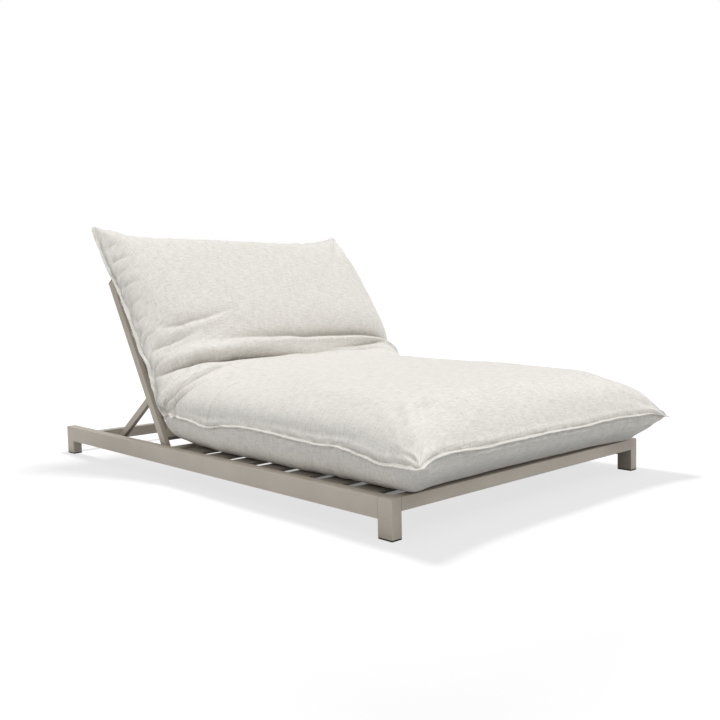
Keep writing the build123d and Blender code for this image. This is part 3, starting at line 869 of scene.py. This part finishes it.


def crumple(piece):
    mesh = piece.data
    points, normals = readPoints(mesh), readNormals(mesh)
    grain = readAttribute(mesh, "clothGrain")
    fromSide, fromEnd = readAttribute(mesh, "fromSide"), readAttribute(mesh, "fromEnd")
    across, along, isUnder = grain[:, 0], grain[:, 1], grain[:, 2]
    gap = np.minimum(fromSide, fromEnd)
    out = np.zeros(len(points))
    creaseSeamShade = np.zeros(len(points))
    top = np.nonzero(isUnder < 0.5)[0]
    p, f, c = puckers, cornerFill, seamChannel

    wandering = grain[top]
    wanderDepth, wanderLength = p["wander"]
    wandering[:, 1] += wanderDepth * ripple(across[top], wanderLength, 5)
    for stroke in creases.values():
        move, creaseShade = strokeDepth(wandering, stroke)
        out[top] += move
        creaseSeamShade[top] = np.maximum(creaseSeamShade[top], creaseShade)

    fill = np.where(across < 0, f["near"], f["far"]) * smoothStep((np.abs(across) - f["from"]) / f["over"])
    fill *= smoothStep(gap / f["sideFade"])
    out[top] += (fill * np.exp(-np.abs(along / f["reach"]) ** 1.6))[top]
    out *= smoothStep(gap / 0.03)

    sideWaves = ripple(along, p["spacing"], 11) + 0.6 * ripple(along, p["spacing"] * 0.55, 12)
    endWaves = ripple(across, p["spacing"], 13) + 0.6 * ripple(across, p["spacing"] * 0.55, 14)
    sideShare = np.exp(-fromSide / p["reach"] / (1 + p["underReach"] * isUnder))
    sideShare *= smoothStep(fromSide / p["seamFade"]) * (1 + p["underDepth"] * isUnder)
    endShare = np.exp(-fromEnd / p["reach"]) * smoothStep(fromEnd / p["seamFade"])
    out += p["depth"] * (sideWaves * sideShare + endWaves * endShare)
    hills = dapple(across, along, 0.16, 21) + 0.5 * dapple(across, along, 0.07, 22)
    out += p["hills"] * hills * smoothStep(gap / p["hillsFade"]) * np.where(isUnder < 0.5, 1, p["hillsUnder"])
    out += c["lift"] * np.exp(-(((gap - c["at"]) / c["width"]) ** 2))
    writePoints(mesh, points + normals * out[:, None])

    # painted shade: darker where the creases run deep, fading by the seam
    creaseSeamShade = np.clip(creaseSeamShade / creaseShading["full"], 0, 1) * smoothStep(gap / creaseShading["sideFade"])
    # painted shade: a thin dark line along the seam, at the lip's root
    creaseSeamShade += c["shade"] * np.exp(-((gap / c["paintedShadeWidth"]) ** 2))
    attribute = mesh.attributes.new("creaseSeamShade", "FLOAT", "POINT")
    attribute.data.foreach_set("value", np.clip(creaseSeamShade, 0, 1).astype(np.float32))


# The seam's edge
seamLip = {
    "width": 0.0112,
    "thickness": 0.0040,
    "droopDeg": 13,
    "droopWaveDeg": 12,
    "earWidening": 0.1,  # how much wider it runs at the corners
    "earReach": 0.016,
    "foldWidening": 0.1,  # and where the fold squeezes it
    "widthWave": 0.10,
    "step": 0.008,
    "wave": 0.0022,  # how far the lip wanders up and down
    "grooveHalves": (0.0022, 0.0008),  # half the groove's width at its top and at its bottom
    "stitchIn": 0.0065,  # the stitch line's distance from the outer edge
    "stitchPitch": 0.0085,
    "stitchLength": 0.0055,
    "stitchWidth": 0.0011,
}

# where the seam zigzags, squeezed by the fold
seamCrimps = [
    {"height": 0.010, "pitch": 0.052, "at": -0.055, "span": 0.050, "reach": 0.030},
    {"height": 0.010, "pitch": 0.060, "at": 0.135, "span": 0.024, "reach": 0.025},
]


def seamUp(along):
    # square to the deck: upright by the seat, leaning with the back past the fold
    half = 0.06
    lean = backAngle * smoothStep((along + half) / (2 * half))
    return np.stack([0 * lean, -np.sin(lean), np.cos(lean)], -1)


def crimpSeam(piece, crimps):
    mesh = piece.data
    points = readPoints(mesh)
    along, fromSide = readAttribute(mesh, "clothGrain")[:, 1], readAttribute(mesh, "fromSide")
    up = seamUp(along)
    for c in crimps:
        away = along - c["at"]
        zigzag = np.arcsin(0.97 * np.sin(2 * np.pi * away / c["pitch"])) / 1.33
        size = c["height"] * zigzag * np.exp(-((away / c["span"]) ** 2) - (fromSide / c["reach"]) ** 2)
        points += up * size[:, None]
    writePoints(mesh, points)


def seamPath(piece, edge):
    # the seam's points at even steps, with each one's outward and upward direction, its place
    # round the seam and along the mattress, and how near it is to a corner
    mesh = piece.data
    points = readPoints(mesh)[edge]
    along = readAttribute(mesh, "clothGrain")[edge, 1]
    closed = np.concatenate([points, points[:1]])
    run = np.concatenate([[0], np.cumsum(np.linalg.norm(np.diff(closed, axis=0), axis=1))])
    count = int(run[-1] / seamLip["step"])
    at = np.arange(count) * run[-1] / count
    path = np.stack([np.interp(at, run, closed[:, k]) for k in range(3)], -1)
    along = np.interp(at, run, np.append(along, along[0]))
    ear = np.zeros(count)
    for corner in run[seamCorners]:
        away = np.abs((at - corner + run[-1] / 2) % run[-1] - run[-1] / 2)
        ear = np.maximum(ear, np.exp(-((away / seamLip["earReach"]) ** 2)))
    path = (np.roll(path, 1, 0) + 2 * path + np.roll(path, -1, 0)) / 4
    tangent = np.roll(path, -1, 0) - np.roll(path, 1, 0)
    tangent /= np.linalg.norm(tangent, axis=1, keepdims=True)
    out = np.cross(tangent, seamUp(along))
    out /= np.linalg.norm(out, axis=1, keepdims=True)
    up = np.cross(out, tangent)
    return path, out, up, at, along, ear


def lipShape(lip):
    # the lip's outline across the seam: out from the body, and up
    w, t, groove = lip["width"], lip["thickness"] / 2, lip["width"] - lip["stitchIn"]
    wide, narrow = lip["grooveHalves"]
    inner = [(-0.005, t * 1.3), (0.0, t * 1.15), (groove - wide, t), (groove - narrow, t * 0.55)]
    outer = [(groove + narrow, t * 0.55), (groove + wide, t), (w - 0.003, t * 1.05), (w - 0.001, t * 0.8)]
    upper = inner + outer + [(w, 0)]
    return upper + [(o, -u) for o, u in upper[-2::-1]]


def makeLip(lip, path, out, up, at, along, ear):
    shape = lipShape(lip)
    count = len(path)
    droop = np.radians(lip["droopDeg"] + lip["droopWaveDeg"] * ripple(at, 0.09, 34))[:, None]
    out, up = out * np.cos(droop) - up * np.sin(droop), up * np.cos(droop) + out * np.sin(droop)
    wave = lip["wave"] * (ripple(at, 0.06, 31) + 0.5 * ripple(at, 0.025, 32))
    widen = 1 + lip["widthWave"] * ripple(at, 0.04, 33) + lip["earWidening"] * ear
    widen += lip["foldWidening"] * np.exp(-(((along + 0.03) / 0.06) ** 2))
    points = []
    for o, u in shape:
        lift = np.clip(o / lip["width"], 0, 1)
        points.append(path + out * (o * widen)[:, None] + up * (u + wave * lift)[:, None])
    points = np.stack(points, 1)
    rings = len(shape)
    index = np.arange(count * rings).reshape(count, rings)
    here, there = index, np.roll(index, -1, 0)
    faces = np.stack([here[:, :-1], there[:, :-1], there[:, 1:], here[:, 1:]], -1).reshape(-1, 4)
    mesh = bpy.data.meshes.new("mattress_seam_lip")
    mesh.from_pydata(points.reshape(-1, 3).tolist(), [], faces.tolist())
    mesh.polygons.foreach_set("use_smooth", [True] * len(faces))
    widths = np.array([o for o, _ in shape])
    grain = np.stack(np.broadcast_arrays(widths[None, :], at[:, None], 0.0), -1).reshape(-1, 3)
    attribute = mesh.attributes.new("clothGrain", "FLOAT_VECTOR", "POINT")
    attribute.data.foreach_set("vector", grain.astype(np.float32).ravel())
    piece = bpy.data.objects.new("mattress_seam_lip", mesh)
    bpy.context.scene.collection.objects.link(piece)
    return piece, points


def makeStitches(lip, points, out, up):
    # short threads that lie in the groove, above and below the lip
    grooveAt = {1: 3, -1: len(lipShape(lip)) - 5}
    rings = ((-0.5, 0.35), (-0.3, 1), (0.3, 1), (0.5, 0.35))  # places along a stitch and its thickness there
    sides = 5
    stitchCount = int(len(points) * lip["step"] / lip["stitchPitch"])
    verts, faces = [], []
    for side, k in grooveAt.items():
        line = (points[:, k] + points[:, k + 1]) / 2
        for n in range(stitchCount):
            place = n * len(points) / stitchCount
            a, t = int(place), place - int(place)
            b = (a + 1) % len(points)
            centre = line[a] * (1 - t) + line[b] * t
            ahead = line[b] - line[a]
            ahead /= np.linalg.norm(ahead)
            for share, thick in rings:
                middle = centre + ahead * share * lip["stitchLength"]
                radius = lip["stitchWidth"] / 2 * thick
                for q in range(sides):
                    angle = 2 * math.pi * q / sides
                    spoke = math.cos(angle) * out[a] + (math.sin(angle) + 0.4 * side) * up[a]
                    verts.append(middle + radius * spoke)
            base = len(verts) - len(rings) * sides
            for low in range(base, base + (len(rings) - 1) * sides, sides):
                for q in range(sides):
                    q2 = (q + 1) % sides
                    faces.append((low + q, low + q2, low + sides + q2, low + sides + q))
    mesh = bpy.data.meshes.new("mattress_stitches")
    mesh.from_pydata([tuple(v) for v in verts], [], faces)
    piece = bpy.data.objects.new("mattress_stitches", mesh)
    bpy.context.scene.collection.objects.link(piece)
    return piece


inflate(mattress, clothFill)
crimpSeam(mattress, seamCrimps)
seamLine = seamPath(mattress, seamEdge)
lip, lipPoints = makeLip(seamLip, *seamLine)
stitches = makeStitches(seamLip, lipPoints, seamLine[1], seamLine[2])
print("seam lip and stitches made")
subdivide(mattress, 1)
crumple(mattress)
print("mattress creased,", len(mattress.data.vertices), "points")

# The mattress's cloth
mattressCloth = {
    "light": (0.80, 0.777, 0.73),
    "dark": (0.565, 0.543, 0.505),
    "toneSpan": (0.37, 0.56),  # where the yarn's value is dark and where it is light
    "roughness": 0.92,
    "sheen": 0.25,
    "threadPitch": 0.0022,
    "threadTone": 0.05,
    "threadHeight": 0.00035,
    # how long and how wide the streaks in the yarns are, and how much they count
    "slub": (0.030, 0.0021, 0.38),
    "streak": (0.052, 0.0028, 0.34),
    "down": (0.045, 0.003, 0.28),  # these run along the mattress, the others across
    "creaseSeamShadeTint": (0.50, 0.47, 0.43),  # painted shade, in the creases and along the seam
    "creaseSeamShadeShare": 0.8,
}


def weighted(tree, *parts):
    # the sum of values, each times its weight
    total = None
    for value, weight in parts:
        part = calc(tree, "MULTIPLY", value, weight)
        total = part if total is None else calc(tree, "ADD", total, part)
    return total


def makeCloth(c):
    material, tree, shader = newMaterial("mattressCloth")
    grain = addNode(tree, "ShaderNodeAttribute", attribute_name="clothGrain").outputs["Vector"]
    parts = addNode(tree, "ShaderNodeSeparateXYZ", {"Vector": grain})
    turn = 2 * math.pi / c["threadPitch"]
    warp, weft = (calc(tree, "SINE", calc(tree, "MULTIPLY", parts.outputs[axis], turn)) for axis in "XY")
    weave = calc(tree, "MULTIPLY", weft, warp)
    (slubLong, slubWide, slubWeight), (streakLong, streakWide, streakWeight) = c["slub"], c["streak"]
    downLong, downWide, downWeight = c["down"]
    slub = noise(tree, stretched(tree, grain, (1 / slubLong, 1 / slubWide, 1)), 1.0, 2.0, 0.6)
    streak = noise(tree, stretched(tree, grain, (1 / streakLong, 1 / streakWide, 1)), 1.0, 3.0, 0.6)
    down = noise(tree, stretched(tree, grain, (1 / downWide, 1 / downLong, 1)), 1.0)
    yarn = weighted(tree, (slub, slubWeight), (streak, streakWeight), (down, downWeight))
    shade = weighted(tree, (yarn, 1), (weave, c["threadTone"]))
    woven = ramp(tree, shade, list(zip(c["toneSpan"], (c["dark"], c["light"]))))
    # the painted shade of the creases and the seam darkens the cloth's colour
    creaseSeamShade = addNode(tree, "ShaderNodeAttribute", attribute_name="creaseSeamShade").outputs["Fac"]
    factor = calc(tree, "MULTIPLY", creaseSeamShade, c["creaseSeamShadeShare"])
    mixed = addNode(tree, "ShaderNodeMix", {"Factor": factor}, data_type="RGBA", blend_type="MULTIPLY")
    setInput(tree, mixed.inputs[6], woven)
    setInput(tree, mixed.inputs[7], (*c["creaseSeamShadeTint"], 1))
    tree.links.new(mixed.outputs[2], shader.inputs["Base Color"])
    shader.inputs["Roughness"].default_value = c["roughness"]
    shader.inputs["Sheen Weight"].default_value = c["sheen"]
    shader.inputs["Sheen Roughness"].default_value = 0.5
    shader.inputs["Specular IOR Level"].default_value = 0.15
    addBump(tree, shader, weighted(tree, (weave, 0.5), (yarn, 1)), c["threadHeight"], 0.8)
    return material


cloth = makeCloth(mattressCloth)
mattress.data.materials.append(cloth)
lip.data.materials.append(cloth)

stitchThread = {"color": (0.84, 0.82, 0.77), "roughness": 0.7, "plyPitch": 0.0009, "plyHeight": 0.0002}


def makeThread(c):
    material, tree, shader = newMaterial("stitchThread")
    ply = noise(tree, coordinates(tree, "Object"), 1 / c["plyPitch"])
    mottle(tree, shader, ply, scaled(c["color"], 0.85), c["color"])
    shader.inputs["Roughness"].default_value = c["roughness"]
    addBump(tree, shader, ply, c["plyHeight"], 0.8)
    return material


stitches.data.materials.append(makeThread(stitchThread))
print("cloth woven")

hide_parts("seat_cushion", "back_cushion")
for piece in (mattress, lip, stitches):
    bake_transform(piece)
